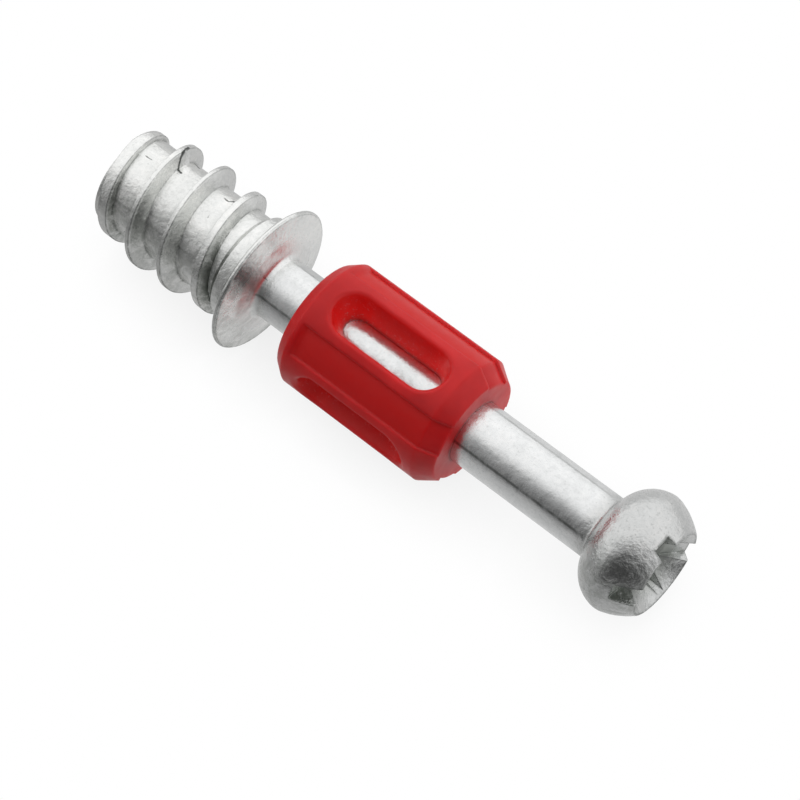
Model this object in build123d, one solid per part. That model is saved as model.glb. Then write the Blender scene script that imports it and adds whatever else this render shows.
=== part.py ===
from build123d import *
import os
from math import asin, cos, radians, sin, sqrt, tan

# Cam lock bolt, sizes in millimetres.
# It is a die-cast bolt that screws into the face of a board, with a moulded sleeve on its shank.
# Both are modelled upright: Z is the axis, Z = 0 is the seat under the flange,
# the thread points down and the head points up. At the end the bolt is laid along X.

# Screw-in thread
thread_length = 8.84
thread_crest_d = 6.5
thread_core_d = 4.85
thread_pitch = 2.05
thread_flank_nose_side = 17.0
thread_flank_head_side = 23.0
thread_crest_flat = 0.18
thread_crest_bevel = 0.12
thread_start_turn = 23.6
thread_start_z = -8.9
# Crest diameter at the nose and at the flange, where the thread rises and fades
lead_in_d = 5.3
lead_in_length = 2.6
fade_d = 6.0
fade_length = 4.0
fade_end = 2.0

# Seating flange
flange_d = 7.7
flange_rim = 0.24
flange_rim_bevel = 0.07
flange_hub_d = 4.3
flange_hub_height = 0.56
flange_neck_round = 0.3

# Collar between the thread and the flange's seat, with a sloped front edge; the ridge ends at it
collar_d = 5.5
collar_length = 1.3
collar_front_bevel = 0.26
collar_root_bevel = 0.12

# Shank
shank_d = 3.25

# Head, a ball behind and a flatter dome in front; the dome's apex is cut away by the drive recess
head_d = 6.26
head_end_z = 24.55
head_widest_z = 22.37
head_under_radius = 1.92
head_rim_d = 4.6
head_rim_z = 23.94
head_side_bulge = 0.1
head_rim_round = 0.2
head_widest_round = 1.2
head_neck_round = 0.22

# Drive recess in the head: a conical pit crossed by two slots.
# Depths are measured down from the rim, widths and reaches in the plane of the rim.
pit_d = 4.38
pit_d_deep = 1.1
pit_depth = 1.9
slot_draft = 5.0

# The short slot breaks out of the head's shoulder at one end and comes to a point inside the rim
short_slot_turn = 91.5
short_slot_depth = 1.6
short_slot_width = 1.0
short_slot_open_r = 2.62
short_slot_open_slope = 6.0
short_slot_shoulder_r = 1.25
short_slot_shoulder_width = 1.35
short_slot_tip_r = 2.14
short_slot_tip_width = 0.36
short_slot_tip_slope = 18.0

# The long slot is open through the head's side at one end and runs out up a ramp at the other
long_slot_turn = 157.8
long_slot_depth = 1.04
long_slot_width = 1.02
long_slot_ramp_foot_r = 1.25
long_slot_ramp_drop = 0.5
long_slot_ramp_width = 1.3

# Sleeve
sleeve_d = 6.74
sleeve_start_z = 3.38
sleeve_length = 9.36
sleeve_face_low_d = 5.95
sleeve_face_high_d = 5.55
sleeve_chamfer_low = 0.54
sleeve_chamfer_high = 0.88
sleeve_clearance = 0.0

# Windows in the sleeve
window_count = 4
window_turn = 94.1
window_length = 6.4
window_width = 2.32
window_draft = 16.0
window_centre_z = 8.0
window_rim_bevel = 0.14

# Sunk panels between the windows, with sloped sides, open at the head's end of the sleeve
panel_width = 1.62
panel_depth = 0.15
panel_start_z = 4.15
panel_side_run = 0.24
panel_end_run = 0.28


# Derived sizes
crest_r = thread_crest_d / 2
core_r = thread_core_d / 2
ridge_foot_r = core_r - 0.12
shank_r = shank_d / 2
flange_r = flange_d / 2
collar_r = collar_d / 2
head_r = head_d / 2
sleeve_r = sleeve_d / 2
sleeve_bore_r = shank_r + sleeve_clearance


def ring(radius_z_pairs):
    """Solid of revolution about Z from a closed outline of (radius, z) points."""
    with BuildSketch(Plane.XZ) as outline:
        with BuildLine():
            Polyline(*radius_z_pairs, close=True)
        make_face()
    return revolve(outline.sketch, axis=Axis.Z)


def turned_body():
    """The bolt without its thread ridge and its drive recess."""
    slope = (flange_hub_height - flange_rim) / (flange_r - flange_hub_d / 2)
    cone_foot_z = flange_hub_height + slope * (flange_hub_d / 2 - shank_r)
    arc_centre_r = head_r - head_under_radius
    under_z = head_widest_z - sqrt(head_under_radius ** 2 - (shank_r - arc_centre_r) ** 2)
    bowl_angle = radians(40)
    bowl_mid = (
        arc_centre_r + head_under_radius * cos(bowl_angle),
        head_widest_z - head_under_radius * sin(bowl_angle),
    )
    side_mid = (
        (head_r + head_rim_d / 2) / 2 + head_side_bulge,
        (head_widest_z + head_rim_z) / 2 + head_side_bulge / 2,
    )
    dome_mid = (head_rim_d / 4, head_end_z - (head_end_z - head_rim_z) / 4)
    with BuildSketch(Plane.XZ) as section:
        with BuildLine():
            Polyline(
                (0, head_end_z),
                (0, -thread_length - thread_pitch),
                (core_r, -thread_length - thread_pitch),
                (core_r, -collar_length),
                (collar_r, -collar_length),
                (collar_r, 0),
                (flange_r, 0),
                (flange_r, flange_rim),
                (shank_r, cone_foot_z),
                (shank_r, under_z),
            )
            ThreePointArc((shank_r, under_z), bowl_mid, (head_r, head_widest_z))
            ThreePointArc((head_r, head_widest_z), side_mid, (head_rim_d / 2, head_rim_z))
            ThreePointArc((head_rim_d / 2, head_rim_z), dome_mid, (0, head_end_z))
        make_face()

        def at(r, z):
            return section.vertices().sort_by_distance((r, z, 0))[0]

        chamfer(at(flange_r, 0), flange_rim_bevel)
        chamfer(at(flange_r, flange_rim), flange_rim_bevel)
        chamfer(at(collar_r, -collar_length), collar_front_bevel)
        chamfer(at(collar_r, 0), collar_root_bevel)
        fillet(at(shank_r, cone_foot_z), flange_neck_round)
        fillet(at(shank_r, under_z), head_neck_round)
        fillet(at(head_rim_d / 2, head_rim_z), head_rim_round)
        fillet(at(head_r, head_widest_z), head_widest_round)
    return revolve(section.sketch, axis=Axis.Z)


def crest_radius(z):
    """The crest rises from the nose, runs at full height and fades towards the flange."""
    low = -thread_length
    if z < low + lead_in_length:
        rise = max(0, (z - low) / lead_in_length)
        return lead_in_d / 2 + (crest_r - lead_in_d / 2) * rise
    if z < -fade_length:
        return crest_r
    if z < -fade_end:
        drop = (z + fade_length) / (fade_length - fade_end)
        return crest_r + (fade_d / 2 - crest_r) * drop
    return fade_d / 2


def ridge_corner(z, corner):
    """Radius and height offset of one corner of the ridge's section at height z."""
    r = crest_radius(z)
    slope_low = tan(radians(thread_flank_nose_side))
    slope_high = tan(radians(thread_flank_head_side))
    half_crest = thread_crest_flat / 2
    half_shoulder = (thread_crest_flat + thread_crest_bevel) / 2
    cut_down = crest_r - r
    foot_drop = crest_r - thread_crest_bevel - ridge_foot_r
    section = [
        (ridge_foot_r, -half_shoulder - foot_drop * slope_low),
        (r - thread_crest_bevel, -half_shoulder - cut_down * slope_low),
        (r, -half_crest - cut_down * slope_low),
        (r, half_crest + cut_down * slope_high),
        (r - thread_crest_bevel, half_shoulder + cut_down * slope_high),
        (ridge_foot_r, half_shoulder + foot_drop * slope_high),
    ]
    return section[corner]


def helical_edge(corner, first_turn, last_turn):
    """The path of one section corner round the axis, right-handed."""
    steps = round((last_turn - first_turn) * 18)
    points = []
    for i in range(steps + 1):
        turn = first_turn + (last_turn - first_turn) * i / steps
        z = thread_start_z + thread_pitch * turn
        r, offset = ridge_corner(z, corner)
        angle = radians(thread_start_turn + 360 * turn)
        points.append(Vector(r * cos(angle), r * sin(angle), z + offset))
    return Edge.make_spline(points)


def thread_ridge():
    """One right-hand ridge: six helical faces and two end faces, cut off square at the collar."""
    first_turn = -0.45
    last_turn = (thread_length + 0.9) / thread_pitch
    edges = [helical_edge(i, first_turn, last_turn) for i in range(6)]
    faces = [Face.make_surface_from_curves(edges[i], edges[(i + 1) % 6]) for i in range(6)]
    for end in (0, 1):
        faces.append(Face(Wire.make_polygon([e @ end for e in edges], close=True)))
    ridge = Solid(Shell(faces))
    block = 4 * flange_r
    return ridge - Pos(0, 0, -collar_length + block / 2) * Box(block, block, block)


def pit_cutter():
    """Conical pit that the driver's tip finds first."""
    rim_z = head_rim_z
    slope = (pit_d - pit_d_deep) / 2 / pit_depth
    rise = head_end_z + 0.3 - rim_z
    return ring(
        [
            (0, rim_z - pit_depth),
            (pit_d_deep / 2, rim_z - pit_depth),
            (pit_d / 2 + slope * rise, rim_z + rise),
            (0, rim_z + rise),
        ]
    )


def slot_bar(depth, outline):
    """Slot across the head's end along X, from half its outline, with draft on the side walls.

    The outline is a list of (reach, half width, end slope) from the open end to the far end."""
    side = tan(radians(slot_draft))

    def plan(height):
        up = height - head_rim_z
        half = [(x + up * tan(radians(slope)), y + up * side) for x, y, slope in outline]
        other_half = [(x, -y) for x, y in reversed(half)]
        with BuildSketch(Plane((0, 0, height))) as sketch:
            with BuildLine():
                Polyline(*half, *other_half, close=True)
            make_face()
        return sketch.sketch

    return loft([plan(head_rim_z - depth), plan(head_end_z + 0.3)], ruled=True)


def short_slot_cutter():
    bar = slot_bar(
        short_slot_depth,
        [
            (short_slot_open_r, short_slot_width / 2, short_slot_open_slope),
            (-short_slot_shoulder_r, short_slot_shoulder_width / 2, -short_slot_tip_slope),
            (-short_slot_tip_r, short_slot_tip_width / 2, -short_slot_tip_slope),
        ],
    )
    return Rot(0, 0, short_slot_turn) * bar


def long_slot_cutter():
    bar = slot_bar(
        long_slot_depth,
        [
            (head_d, long_slot_width / 2, 0),
            (-long_slot_ramp_foot_r, long_slot_width / 2, 0),
            (-head_r, long_slot_ramp_width / 2, 0),
        ],
    )
    # What stays under the ramp: a wedge that rises from the slot's floor to just under the rim
    floor_z = head_rim_z - long_slot_depth
    slope = (long_slot_depth - long_slot_ramp_drop) / (head_rim_d / 2 - long_slot_ramp_foot_r)
    margin = 0.2
    foot_x = -long_slot_ramp_foot_r
    with BuildSketch(Plane.XZ) as wedge:
        with BuildLine():
            Polyline(
                (foot_x + margin, floor_z - slope * margin),
                (foot_x - head_d, floor_z - slope * margin),
                (foot_x - head_d, floor_z + slope * head_d),
                close=True,
            )
        make_face()
    ramp = extrude(wedge.sketch, amount=head_d, both=True)
    return Rot(0, 0, long_slot_turn) * (bar - ramp)


def bolt():
    """The stud is made overlong and cut off square at the nose, ridge and core together."""
    body = turned_body() - pit_cutter() - short_slot_cutter() - long_slot_cutter()
    body += thread_ridge()
    block = 4 * flange_r
    return body - Pos(0, 0, -thread_length - block / 2) * Box(block, block, block)


def sleeve():
    low = sleeve_start_z
    high = sleeve_start_z + sleeve_length
    with BuildSketch(Plane.XZ) as section:
        with BuildLine():
            Polyline(
                (sleeve_bore_r, low),
                (sleeve_face_low_d / 2, low),
                (sleeve_r, low + sleeve_chamfer_low),
                (sleeve_r, high - sleeve_chamfer_high),
                (sleeve_face_high_d / 2, high),
                (sleeve_bore_r, high),
                close=True,
            )
        make_face()
    body = revolve(section.sketch, axis=Axis.Z)

    # Each panel's floor follows the sleeve's round and the chamfer at its head end
    floor_r = sleeve_r - panel_depth
    reach = 0.3
    side_out = panel_side_run * (1 + reach / panel_depth)
    end_out = panel_end_run * (1 + reach / panel_depth)
    cone = (sleeve_r - sleeve_face_high_d / 2) / sleeve_chamfer_high
    band = ring(
        [
            (floor_r, panel_start_z + panel_end_run),
            (sleeve_r + reach, panel_start_z + panel_end_run - end_out),
            (sleeve_r + reach, high + reach),
            (sleeve_face_high_d / 2 - panel_depth - cone * reach, high + reach),
            (floor_r, high - sleeve_chamfer_high),
        ]
    )
    with BuildSketch() as wedge:
        with BuildLine():
            Polyline(
                (sleeve_bore_r, panel_width / 2),
                (floor_r, panel_width / 2),
                (sleeve_r + reach, panel_width / 2 + side_out),
                (sleeve_r + reach, -panel_width / 2 - side_out),
                (floor_r, -panel_width / 2),
                (sleeve_bore_r, -panel_width / 2),
                close=True,
            )
        make_face()
    panel = band & extrude(wedge.sketch, amount=high + 2 * reach)
    step = 360 / window_count
    for i in range(window_count):
        body -= Rot(0, 0, window_turn + step * (i + 0.5)) * panel

    # Each window is a rounded slot that narrows towards the shank
    mouth_r = sleeve_r + 0.1
    rim_r = sleeve_r * cos(asin(window_width / 2 / sleeve_r))
    grow = 2 * (mouth_r - rim_r) * tan(radians(window_draft))
    mouth = Plane(origin=(mouth_r, 0, window_centre_z), x_dir=(0, 0, 1), z_dir=(-1, 0, 0))
    cutter = extrude(
        mouth * SlotOverall(window_length + grow, window_width + grow),
        amount=mouth_r - sleeve_bore_r + 0.3,
        taper=window_draft,
    )
    for i in range(window_count):
        body -= Rot(0, 0, window_turn + step * i) * cutter
    rims = [
        e
        for e in body.edges()
        if all(sleeve_r - 0.02 < Vector(p.X, p.Y, 0).length for p in (e @ 0, e @ 0.5, e @ 1))
        and abs((e @ 0.5).Z - window_centre_z) < window_length / 2 + 0.2
        and any(
            abs((Rot(0, 0, -window_turn - step * i) * Pos(e @ 0.5)).position.Y) < window_width / 2 + 0.05
            and (Rot(0, 0, -window_turn - step * i) * Pos(e @ 0.5)).position.X > 0
            for i in range(window_count)
        )
    ]
    return chamfer(rims, window_rim_bevel)


laid_down = Plane.YZ.location

os.makedirs("parts", exist_ok=True)
bolt_solid = laid_down * bolt()
sleeve_solid = laid_down * sleeve()
bolt_solid.label = "bolt"
sleeve_solid.label = "sleeve"
export_step(bolt_solid, "parts/bolt.step")
export_step(sleeve_solid, "parts/sleeve.step")
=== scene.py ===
import bpy
from math import cos, radians, sin
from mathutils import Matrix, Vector


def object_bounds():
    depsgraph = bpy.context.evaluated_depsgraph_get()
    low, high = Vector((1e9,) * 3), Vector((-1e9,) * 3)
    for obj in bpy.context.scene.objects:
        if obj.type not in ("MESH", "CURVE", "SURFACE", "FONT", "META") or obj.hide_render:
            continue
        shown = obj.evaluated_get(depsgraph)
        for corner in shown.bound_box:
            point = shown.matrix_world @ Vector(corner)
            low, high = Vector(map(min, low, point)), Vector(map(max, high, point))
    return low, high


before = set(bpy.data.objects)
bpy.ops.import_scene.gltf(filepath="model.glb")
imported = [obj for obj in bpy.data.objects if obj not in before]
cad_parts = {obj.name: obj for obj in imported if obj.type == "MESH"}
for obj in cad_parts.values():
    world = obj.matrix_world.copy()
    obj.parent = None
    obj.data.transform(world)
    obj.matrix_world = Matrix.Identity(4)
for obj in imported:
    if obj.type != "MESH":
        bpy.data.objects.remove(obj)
cad_low, cad_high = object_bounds()

mm = 0.001
# The bolt lies along X. Square to it, NEAR points to the photo's camera and RISE up the picture
NEAR = Vector((0.0, -0.400, 0.916))
RISE = Vector((0.0, 0.916, 0.400))

# Masks on the object: where each is empty and where it is full, in metres.
# Along X from the seat of the flange
ON_THREAD = (0.0012, 0.0004)
ON_HEAD = (0.0196, 0.0204)
PIT_FLOOR = (0.0215, 0.0220)
PIT_MOUTH = (0.0238, 0.0229)
CORE_END = (-0.0004, -0.0008)
NOSE_END = (-0.00882, -0.00878)
FLANGE_SEAT = (-0.0002, 0.0)
FLANGE_BACK = (0.0011, 0.0007)
PANEL_START = (0.0040, 0.0043)
PANEL_END = (0.0120, 0.0116)
WINDOW_END = (0.0112, 0.0109)
# Out from the axis
PIT_SIDE = (0.0022, 0.0019)
CORE_SIDE = (0.00265, 0.00250)
SHANK_SIDE = (0.00180, 0.00172)
HUB_SIDE = (0.0029, 0.0024)
OUTER_RING = (0.0025, 0.0028)
PANEL_DEPTH = (0.00332, 0.00326)
WINDOW_DEPTH = (0.00322, 0.00316)
# Along Y, towards the front
LOW_FRONT = (-0.0008, -0.0024)
EDGE_SHADE_FRONT = (0.0010, -0.0020)
# Out from a plane or a line
PARTING_WIDTH = (0.00010, 0.00002)
NEAR_HALF = (0.0013, 0.0016)

SHANK_TINT = (0.93, 0.93, 0.93)
HEAD_TINT = (0.725, 0.725, 0.72)
THREAD_TINT = (1.0, 0.995, 0.98)
PAINTED_SHADE_GREY = (0.23, 0.248, 0.222)
EDGE_SHADE_GREY = (0.09, 0.10, 0.09)
PIT_GREY = (0.20, 0.21, 0.20)
SPECK_GREY = (0.25, 0.26, 0.25)
PARTING_GREY = (0.20, 0.215, 0.20)
DARK = (0.08, 0.085, 0.08)
PAINTED_HIGHLIGHT = (0.95, 0.95, 0.94)
EDGE_PALE_RED = (0.58, 0.035, 0.035)
PANEL_LIGHT_RED = (0.61, 0.009, 0.009)
WALL_RED = (1.0, 0.014, 0.012)
GLINT_PINK = (0.90, 0.24, 0.26)

# Dark nicks, a cut and a speck on the casting; the one bright stroke is a painted highlight on the
# cut's flat face
# Turn up from the near side in degrees, width in mm, colour, and points in mm: along X, then round
MARKS_AND_HIGHLIGHT = [
    (53, 0.06, DARK, [(-3.50, -0.10), (-3.22, -0.14), (-3.10, 0.08), (-2.96, 0.22)]),
    (32, 0.035, DARK, [(-7.86, -0.01), (-7.50, 0.01)]),
    (57, 0.22, PAINTED_HIGHLIGHT, [(-6.32, 0.32), (-5.95, -0.29)]),
    (50, 0.075, DARK, [(-6.62, 0.73), (-6.47, 0.06), (-6.20, -0.28), (-5.98, -0.34)]),
    (77, 0.09, DARK, [(-6.31, 0.16), (-6.07, -0.03), (-5.90, -0.13)]),
    (-1, 0.06, DARK, [(0.69, 0.01), (0.74, -0.01)]),
]
# Turn of the plane in degrees, and strength
PARTING_PLANES = ((-31.4, 0.80), (58.6, 0.30))


def material(name):
    mat = bpy.data.materials.new(name)
    mat.use_nodes = True
    tree = mat.node_tree
    tree.nodes.clear()
    out = tree.nodes.new("ShaderNodeOutputMaterial")
    return mat, tree, out


def plug(tree, socket, value):
    """A socket takes a link from another socket, a written colour, a vector or a number."""
    if isinstance(value, bpy.types.NodeSocket):
        tree.links.new(value, socket)
    elif socket.type == "RGBA":
        socket.default_value = (*value, 1)
    else:
        socket.default_value = value


def math_node(tree, operation, a, b):
    node = tree.nodes.new("ShaderNodeMath")
    node.operation = operation
    plug(tree, node.inputs[0], a)
    plug(tree, node.inputs[1], b)
    return node.outputs["Value"]


def product(tree, first, *others):
    for other in others:
        first = math_node(tree, "MULTIPLY", first, other)
    return first


def vector_node(tree, operation, *values):
    node = tree.nodes.new("ShaderNodeVectorMath")
    node.operation = operation
    for socket, value in zip(node.inputs, values):
        plug(tree, socket, value)
    gives_number = operation in ("DOT_PRODUCT", "LENGTH", "DISTANCE")
    return node.outputs["Value" if gives_number else "Vector"]


def separate(tree, vector):
    node = tree.nodes.new("ShaderNodeSeparateXYZ")
    tree.links.new(vector, node.inputs["Vector"])
    return node.outputs


def fade(tree, value, low, high, at_low=0.0, at_high=1.0):
    """Straight change from at_low to at_high while the value goes from low to high."""
    node = tree.nodes.new("ShaderNodeMapRange")
    node.inputs["From Min"].default_value = low
    node.inputs["From Max"].default_value = high
    node.inputs["To Min"].default_value = at_low
    node.inputs["To Max"].default_value = at_high
    tree.links.new(value, node.inputs["Value"])
    return node.outputs["Result"]


def between(tree, mask, outside, inside):
    """The number outside where the mask is 0, and inside where it is 1."""
    return fade(tree, mask, 0.0, 1.0, outside, inside)


def blend_colour(tree, factor, a, b, kind="MIX"):
    """Colour a, moved towards colour b by factor; each is a socket or a written value."""
    node = tree.nodes.new("ShaderNodeMix")
    node.data_type = "RGBA"
    node.blend_type = kind
    inputs = (("Factor", "VALUE", factor), ("A", "RGBA", a), ("B", "RGBA", b))
    for name, socket_type, value in inputs:
        socket = next(i for i in node.inputs if i.name == name and i.type == socket_type)
        plug(tree, socket, value)
    return next(o for o in node.outputs if o.type == "RGBA")


def ramp(tree, source, stops):
    """Stops are a place from 0 to 1 with a grey or a colour."""
    node = tree.nodes.new("ShaderNodeValToRGB")
    elements = node.color_ramp.elements
    while len(elements) < len(stops):
        elements.new(0.5)
    for element, (place, colour) in zip(elements, stops):
        element.position = place
        element.color = (*colour, 1) if isinstance(colour, tuple) else (colour, colour, colour, 1)
    tree.links.new(source, node.inputs["Fac"])
    return node.outputs["Color"]


def noise(tree, coords, scale, detail, rough, distortion=0.0, output="Fac"):
    """Noise in object space, scale in features per metre."""
    node = tree.nodes.new("ShaderNodeTexNoise")
    node.inputs["Scale"].default_value = scale
    node.inputs["Detail"].default_value = detail
    node.inputs["Roughness"].default_value = rough
    node.inputs["Distortion"].default_value = distortion
    tree.links.new(coords.outputs["Object"], node.inputs["Vector"])
    return node.outputs[output]


def openness(tree, distance, samples=6):
    """1 in the open and 0 deep in a hollow, as seen within the distance."""
    node = tree.nodes.new("ShaderNodeAmbientOcclusion")
    node.samples = samples
    node.inputs["Distance"].default_value = distance
    return node.outputs["AO"]


def soft_normal(tree, radius, samples=6):
    """The face's direction, with edges rounded by the radius."""
    node = tree.nodes.new("ShaderNodeBevel")
    node.samples = samples
    node.inputs["Radius"].default_value = radius
    return node.outputs["Normal"]


def bump(tree, height, strength, distance, previous):
    node = tree.nodes.new("ShaderNodeBump")
    node.inputs["Strength"].default_value = strength
    node.inputs["Distance"].default_value = distance
    tree.links.new(height, node.inputs["Height"])
    tree.links.new(previous, node.inputs["Normal"])
    return node.outputs["Normal"]


def edge_mask(tree, radius, full_at, empty_at):
    """White along the edges of the solid, within about the radius, where the two normals part."""
    rounded = soft_normal(tree, radius)
    face = tree.nodes.new("ShaderNodeNewGeometry")
    match = vector_node(tree, "DOT_PRODUCT", rounded, face.outputs["Normal"])
    return fade(tree, match, empty_at, full_at)


def along_axis(tree, coords, axis):
    """How far a point lies along a direction from the origin, in metres."""
    return vector_node(tree, "DOT_PRODUCT", coords.outputs["Object"], axis)


def distance_from_axis(tree, coords):
    """How far a point lies from the bolt's axis, in metres."""
    flat = vector_node(tree, "MULTIPLY", coords.outputs["Object"], (0, 1, 1))
    return vector_node(tree, "LENGTH", flat)


def directions(turn):
    """Out from the axis, and round it, at turn degrees up from the near side."""
    turn = radians(turn)
    return NEAR * cos(turn) + RISE * sin(turn), RISE * cos(turn) - NEAR * sin(turn)


def stroke_mask(tree, coords, fray, turn, width, points):
    """Mask of a thin line with frayed edges through the points, on one side of the bolt."""
    outward, around = directions(turn)
    flat = tree.nodes.new("ShaderNodeCombineXYZ")
    tree.links.new(along_axis(tree, coords, (1, 0, 0)), flat.inputs["X"])
    tree.links.new(along_axis(tree, coords, around), flat.inputs["Y"])
    nearest = None
    for start, end in zip(points, points[1:]):
        start = Vector((*start, 0)) * mm
        run = Vector((*end, 0)) * mm - start
        # The foot of the point on this stretch of the line, and how far off it lies
        offset = vector_node(tree, "SUBTRACT", flat.outputs["Vector"], start)
        share = vector_node(tree, "DOT_PRODUCT", offset, run / run.length_squared)
        foot = vector_node(tree, "MULTIPLY", run, fade(tree, share, 0.0, 1.0))
        gap = vector_node(tree, "DISTANCE", offset, foot)
        nearest = gap if nearest is None else math_node(tree, "MINIMUM", nearest, gap)
    reach = width * mm
    ragged = math_node(tree, "ADD", nearest, fade(tree, fray, 0.3, 0.7, -reach * 0.5, reach * 0.5))
    line = fade(tree, ragged, reach, reach * 0.4)
    return product(tree, line, fade(tree, along_axis(tree, coords, outward), *NEAR_HALF))


def parting_lines(tree, coords, along, from_axis, on_head, hue):
    """Lines of a die in four slides: full on the plain shank, weaker on the thread's core."""
    core = product(tree, fade(tree, from_axis, *CORE_SIDE), fade(tree, along, *CORE_END), 0.45)
    shank = product(tree, fade(tree, from_axis, *SHANK_SIDE), between(tree, on_head, 1.0, 0.0))
    shown = math_node(tree, "MAXIMUM", core, shank)
    # None on the flat end of the nose, where the planes would cross in an X
    shown = product(tree, shown, fade(tree, along, *NOSE_END))
    flow = ramp(tree, noise(tree, coords, 1600, 4, 0.7), [(0.36, 0.35), (0.50, 1.0)])
    shown = product(tree, shown, flow)
    for turn, strength in PARTING_PLANES:
        _, across = directions(turn)
        off_plane = math_node(tree, "ABSOLUTE", along_axis(tree, coords, across), 0.0)
        line = fade(tree, off_plane, *PARTING_WIDTH, 0.0, strength)
        hue = blend_colour(tree, product(tree, line, shown), hue, PARTING_GREY)
    return hue


def cast_zinc():
    mat, tree, out = material("cast_zinc")
    shader = tree.nodes.new("ShaderNodeBsdfPrincipled")
    tree.links.new(shader.outputs["BSDF"], out.inputs["Surface"])
    shader.inputs["Metallic"].default_value = 1.0
    coords = tree.nodes.new("ShaderNodeTexCoord")
    place = separate(tree, coords.outputs["Object"])
    along, depthwise = place["X"], place["Y"]
    from_axis = distance_from_axis(tree, coords)
    face = tree.nodes.new("ShaderNodeNewGeometry")
    facing = separate(tree, face.outputs["Normal"])["X"]

    on_thread = fade(tree, along, *ON_THREAD)
    on_head = fade(tree, along, *ON_HEAD)
    off_shank = math_node(tree, "MAXIMUM", on_thread, on_head)
    on_flange = product(tree, fade(tree, along, *FLANGE_SEAT), fade(tree, along, *FLANGE_BACK))
    in_pit = product(tree, fade(tree, from_axis, *PIT_SIDE),
                     fade(tree, along, *PIT_FLOOR), fade(tree, along, *PIT_MOUTH))

    # Bright skin with broad clouds and a fine grain
    broad = noise(tree, coords, 420, 3, 0.6, output="Color")
    fine = noise(tree, coords, 3600, 4, 0.65, output="Color")
    skin = ramp(tree, blend_colour(tree, 0.5, broad, fine), [
        (0.36, (0.72, 0.73, 0.73)), (0.5, (0.835, 0.845, 0.845)), (0.62, (0.91, 0.91, 0.905))])

    # Shank, head and thread have their own tints, painted shade that makes the shank a little
    # darker than the thread and the head the darkest
    tint = blend_colour(tree, on_head, SHANK_TINT, HEAD_TINT)
    tint = blend_colour(tree, on_thread, tint, THREAD_TINT)
    hue = blend_colour(tree, 1.0, skin, tint, "MULTIPLY")

    # Painted shade in grey patches: in hollows, low on the front, and filling the drive pit
    depth = ramp(tree, openness(tree, 0.0012), [(0.28, 1.0), (0.55, 0.38), (0.84, 0.0)])
    low_front = product(tree, fade(tree, depthwise, *LOW_FRONT), off_shank)
    hollows = product(tree, depth, between(tree, off_shank, 0.3, 1.25))
    front_shade = product(tree, low_front, between(tree, on_head, 0.30, 0.38))
    painted_shade_sum = math_node(tree, "ADD", hollows, front_shade)
    painted_shade_sum = math_node(tree, "ADD", painted_shade_sum, product(tree, low_front, depth, 1.5))
    cloud = noise(tree, coords, 1500, 5, 0.7, distortion=0.8)
    patches = ramp(tree, cloud, [(0.40, 0.08), (0.58, 1.0)])
    painted_shade = math_node(tree, "MINIMUM", product(tree, painted_shade_sum, patches), 0.9)
    painted_shade = math_node(tree, "MAXIMUM", painted_shade, product(tree, in_pit, 0.8))
    hue = blend_colour(tree, painted_shade, hue, PAINTED_SHADE_GREY)

    # Painted shade: dark broken lines along the edges, most of them on faces towards the head and
    # in front
    edges = edge_mask(tree, 0.00020, full_at=0.93, empty_at=0.994)
    broken = ramp(tree, noise(tree, coords, 2600, 4, 0.75), [(0.38, 0.1), (0.50, 0.95)])
    towards_head = fade(tree, facing, 0.2, 0.5, 0.15, 1.0)
    in_front = fade(tree, depthwise, *EDGE_SHADE_FRONT, 0.6, 1.0)
    hue = blend_colour(tree, product(tree, edges, broken, towards_head, in_front), hue, EDGE_SHADE_GREY)

    # Small casting pits off the shank, and a fine dark speckle that is strongest on the head
    pits = ramp(tree, noise(tree, coords, 1900, 2, 0.5, distortion=1.2), [(0.73, 0.0), (0.78, 0.7)])
    hue = blend_colour(tree, product(tree, pits, off_shank), hue, PIT_GREY)
    speckle = ramp(tree, noise(tree, coords, 7500, 3, 0.7), [(0.56, 0.0), (0.66, 0.42)])
    speckle = product(tree, speckle, between(tree, on_head, 0.35, 0.8))
    hue = blend_colour(tree, speckle, hue, SPECK_GREY)

    # Parting lines, then two nicks on the core, a cut in the ridge with a painted highlight on its
    # flat face, and a speck at the hub
    hue = parting_lines(tree, coords, along, from_axis, on_head, hue)
    fray = noise(tree, coords, 6000, 2, 0.6)
    for turn, width, colour, points in MARKS_AND_HIGHLIGHT:
        hue = blend_colour(tree, stroke_mask(tree, coords, fray, turn, width, points), hue, colour)
    tree.links.new(hue, shader.inputs["Base Color"])

    # Rougher in patches, under the painted shade and near the hub
    dull = ramp(tree, noise(tree, coords, 900, 4, 0.6), [(0.35, 0.15), (0.65, 0.26)])
    rough = math_node(tree, "ADD", dull, product(tree, painted_shade, 0.2))
    near_hub = product(tree, on_flange, fade(tree, from_axis, *HUB_SIDE))
    rough = math_node(tree, "ADD", rough, product(tree, near_hub, 0.14))
    tree.links.new(rough, shader.inputs["Roughness"])

    # Soft edges; the flange's outer ring, a shallow cone in the solid, is shaded as flat
    outer_ring = product(tree, fade(tree, from_axis, *OUTER_RING),
                         fade(tree, facing, 0.90, 0.96), on_flange)
    flatter = tree.nodes.new("ShaderNodeMix")
    flatter.data_type = "VECTOR"
    factor, soft, flat = (flatter.inputs[i] for i in (0, 4, 5))
    tree.links.new(outer_ring, factor)
    tree.links.new(soft_normal(tree, 0.00007), soft)
    flat.default_value = (1, 0, 0)

    # A skin that is uneven at three scales, the finer two stronger off the shank
    swell = bump(tree, noise(tree, coords, 900, 2, 0.5), 0.35, 0.00007, flatter.outputs[1])
    dents = product(tree, noise(tree, coords, 2300, 3, 0.6),
                    between(tree, off_shank, 0.25, 0.85), between(tree, on_head, 1.0, 1.7))
    hammered = bump(tree, dents, 0.6, 0.00005, swell)
    grain = product(tree, noise(tree, coords, 5200, 4, 0.65), between(tree, off_shank, 0.4, 1.0))
    tree.links.new(bump(tree, grain, 0.7, 0.000032, hammered), shader.inputs["Normal"])
    return mat


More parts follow.
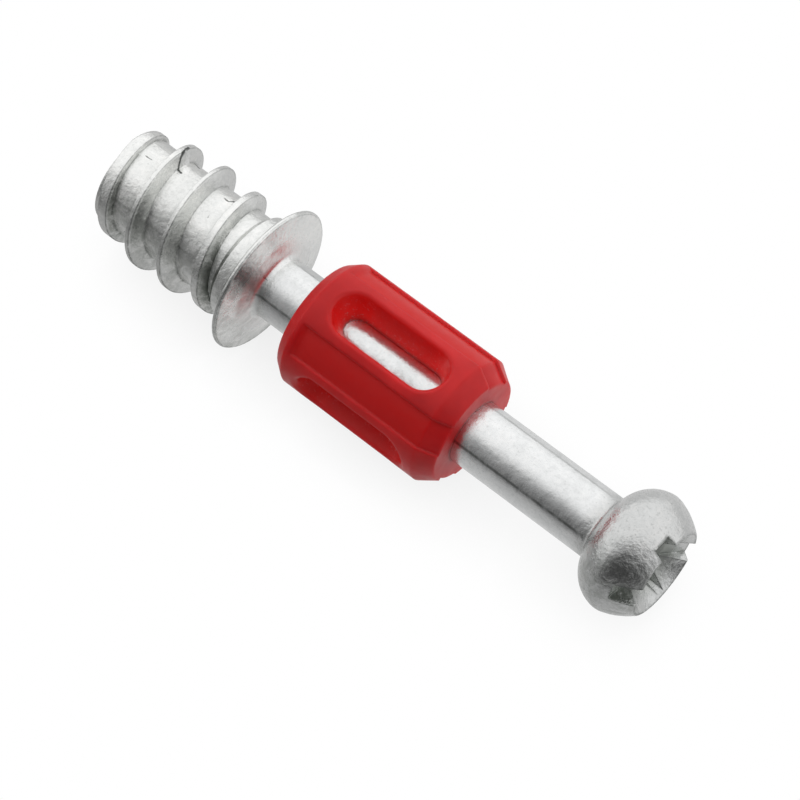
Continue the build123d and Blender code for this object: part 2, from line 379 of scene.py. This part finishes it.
def red_plastic():
    mat, tree, out = material("red_plastic")
    shader = tree.nodes.new("ShaderNodeBsdfPrincipled")
    tree.links.new(shader.outputs["BSDF"], out.inputs["Surface"])
    shader.inputs["IOR"].default_value = 1.5
    shader.inputs["Specular IOR Level"].default_value = 0.28
    shader.inputs["Subsurface Weight"].default_value = 0.8
    shader.inputs["Subsurface Radius"].default_value = (1.0, 0.16, 0.14)
    shader.inputs["Subsurface Scale"].default_value = 0.0011
    coords = tree.nodes.new("ShaderNodeTexCoord")
    along = along_axis(tree, coords, (1, 0, 0))
    from_axis = distance_from_axis(tree, coords)

    # Cloudy red, a little paler along the edges, in patches
    hue = ramp(tree, noise(tree, coords, 500, 3, 0.55), [
        (0.3, (0.50, 0.006, 0.008)), (0.5, (0.57, 0.009, 0.011)), (0.7, (0.63, 0.014, 0.016))])
    edges = edge_mask(tree, 0.00016, full_at=0.80, empty_at=0.99)
    edge_patches = ramp(tree, noise(tree, coords, 2600, 3, 0.6), [(0.45, 0.0), (0.65, 0.5)])
    hue = blend_colour(tree, product(tree, edges, edge_patches), hue, EDGE_PALE_RED)

    # A brighter red in the sunk panels and a brighter one still in the windows' walls, painted
    # light in place of the light that comes through thin plastic, and pink flecks of painted glint
    # in the walls
    sunk = product(tree, fade(tree, from_axis, *PANEL_DEPTH),
                   fade(tree, along, *PANEL_START), fade(tree, along, *PANEL_END))
    hue = blend_colour(tree, sunk, hue, PANEL_LIGHT_RED)
    walls = product(tree, ramp(tree, openness(tree, 0.0016), [(0.60, 1.0), (0.95, 0.0)]),
                    fade(tree, from_axis, *WINDOW_DEPTH), fade(tree, along, *WINDOW_END))
    hue = blend_colour(tree, walls, hue, WALL_RED)
    # Pink flecks in the walls are painted glints
    glints = ramp(tree, noise(tree, coords, 6500, 3, 0.6), [(0.58, 0.0), (0.66, 0.65)])
    hue = blend_colour(tree, product(tree, glints, walls), hue, GLINT_PINK)
    tree.links.new(hue, shader.inputs["Base Color"])

    dull = ramp(tree, noise(tree, coords, 1500, 3, 0.6), [(0.3, 0.30), (0.7, 0.42)])
    tree.links.new(dull, shader.inputs["Roughness"])
    soft = soft_normal(tree, 0.00022, samples=8)
    swell = bump(tree, noise(tree, coords, 700, 2, 0.5), 0.35, 0.00007, soft)
    grain = bump(tree, noise(tree, coords, 4500, 3, 0.6), 0.3, 0.00002, swell)
    tree.links.new(grain, shader.inputs["Normal"])
    return mat


def show_camera(tree, out, seen, lit):
    """The camera gets the first shader, and every other ray gets the second."""
    path = tree.nodes.new("ShaderNodeLightPath")
    mix = tree.nodes.new("ShaderNodeMixShader")
    tree.links.new(path.outputs["Is Camera Ray"], mix.inputs["Fac"])
    tree.links.new(lit, mix.inputs[1])
    tree.links.new(seen, mix.inputs[2])
    tree.links.new(mix.outputs["Shader"], out.inputs["Surface"])


def glow(tree, kind, colour, strength):
    """An emission or a background, in a colour that is a socket or a written colour."""
    node = tree.nodes.new(kind)
    plug(tree, node.inputs["Color"], colour)
    node.inputs["Strength"].default_value = strength
    return node.outputs[0]


def floor_paper():
    """White to the camera, with a drawn shadow; to all else a grey glow that falls off in front."""
    mat, tree, out = material("floor_paper")
    coords = tree.nodes.new("ShaderNodeTexCoord")
    place = separate(tree, coords.outputs["Object"])
    # Across: dim far in front, bright close by and behind
    fall = ramp(tree, fade(tree, place["Y"], -0.060, 0.012), [
        (0.0, 0.19), (0.583, 0.38), (0.75, 0.53), (0.80, 0.64), (0.833, 0.72), (1.0, 0.78)])
    # Along: dimmer under the thread and past the head
    ends = ramp(tree, fade(tree, place["X"], -0.012, 0.036), [
        (0.0, 0.74), (0.25, 0.80), (0.30, 1.0), (0.75, 1.0), (1.0, 0.85)])
    paper = blend_colour(tree, 1.0, fall, ends, "MULTIPLY")
    # The faint shadow, where the bolt stands close over the sheet
    shade = ramp(tree, openness(tree, 0.005, samples=8), [(0.0, 0.78), (0.8, 1.0)])
    show_camera(tree, out,
                seen=glow(tree, "ShaderNodeEmission", shade, 1.0),
                lit=glow(tree, "ShaderNodeEmission", paper, 1.0))
    return mat


def studio():
    """White to the camera; to all else bright from above and behind, and darker low in front."""
    world = bpy.data.worlds.new("studio")
    bpy.context.scene.world = world
    world.use_nodes = True
    tree = world.node_tree
    tree.nodes.clear()
    out = tree.nodes.new("ShaderNodeOutputWorld")
    coords = tree.nodes.new("ShaderNodeTexCoord")
    low_in_front = Vector((0.36, -0.927, 0.103)).normalized()
    aim = vector_node(tree, "DOT_PRODUCT", coords.outputs["Generated"], low_in_front)
    sky = ramp(tree, aim, [
        (0.0, 0.93), (0.24, 0.86), (0.45, 0.62), (0.62, 0.31),
        (0.74, 0.26), (0.775, 0.15), (0.86, 0.09), (1.0, 0.05)])
    show_camera(tree, out,
                seen=glow(tree, "ShaderNodeBackground", (1, 1, 1), 1.0),
                lit=glow(tree, "ShaderNodeBackground", sky, 1.15))


def floor_sheet():
    """A sheet that the bolt just clears, wide enough to fill every view."""
    reach = 1.5
    height = cad_low[2] - 0.00001
    corners = [(x * reach, y * reach, height) for x, y in ((-1, -1), (1, -1), (1, 1), (-1, 1))]
    mesh = bpy.data.meshes.new("floor")
    mesh.from_pydata(corners, [], [(0, 1, 2, 3)])
    mesh.materials.append(floor_paper())
    floor = bpy.data.objects.new("floor", mesh)
    bpy.context.collection.objects.link(floor)
    return floor


def soft_lamp():
    """One weak lamp high behind; most of the light comes from the world and the floor."""
    place, aim = Vector((-30, 150, 130)), Vector((8, 0, 0))
    data = bpy.data.lights.new("high_soft", "AREA")
    data.energy = 0.004
    data.size = 140 * mm
    lamp = bpy.data.objects.new("high_soft", data)
    bpy.context.collection.objects.link(lamp)
    lamp.location = place * mm
    lamp.rotation_euler = (place - aim).to_track_quat("Z", "Y").to_euler()


def camera():
    """The photo's camera, fitted to the outline of the bolt in it."""
    data = bpy.data.cameras.new("camera")
    data.sensor_width = 36
    data.lens = 124.65
    data.clip_start = 0.001
    cam = bpy.data.objects.new("camera", data)
    bpy.context.collection.objects.link(cam)
    back = Vector((0.32061, -0.37483, 0.86988)).normalized()
    target = Vector((9.018, 0, 0)) - RISE * 0.83
    distance = 128.4
    cam.location = (target + back * distance) * mm
    cam.rotation_euler = (-back).to_track_quat("-Z", "Y").to_euler()
    bpy.context.scene.camera = cam


for name, mat in (("bolt", cast_zinc()), ("sleeve", red_plastic())):
    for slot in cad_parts[name].material_slots:
        slot.material = mat

floor_sheet()
studio()
soft_lamp()
camera()
bpy.context.scene.view_settings.view_transform = "Standard"
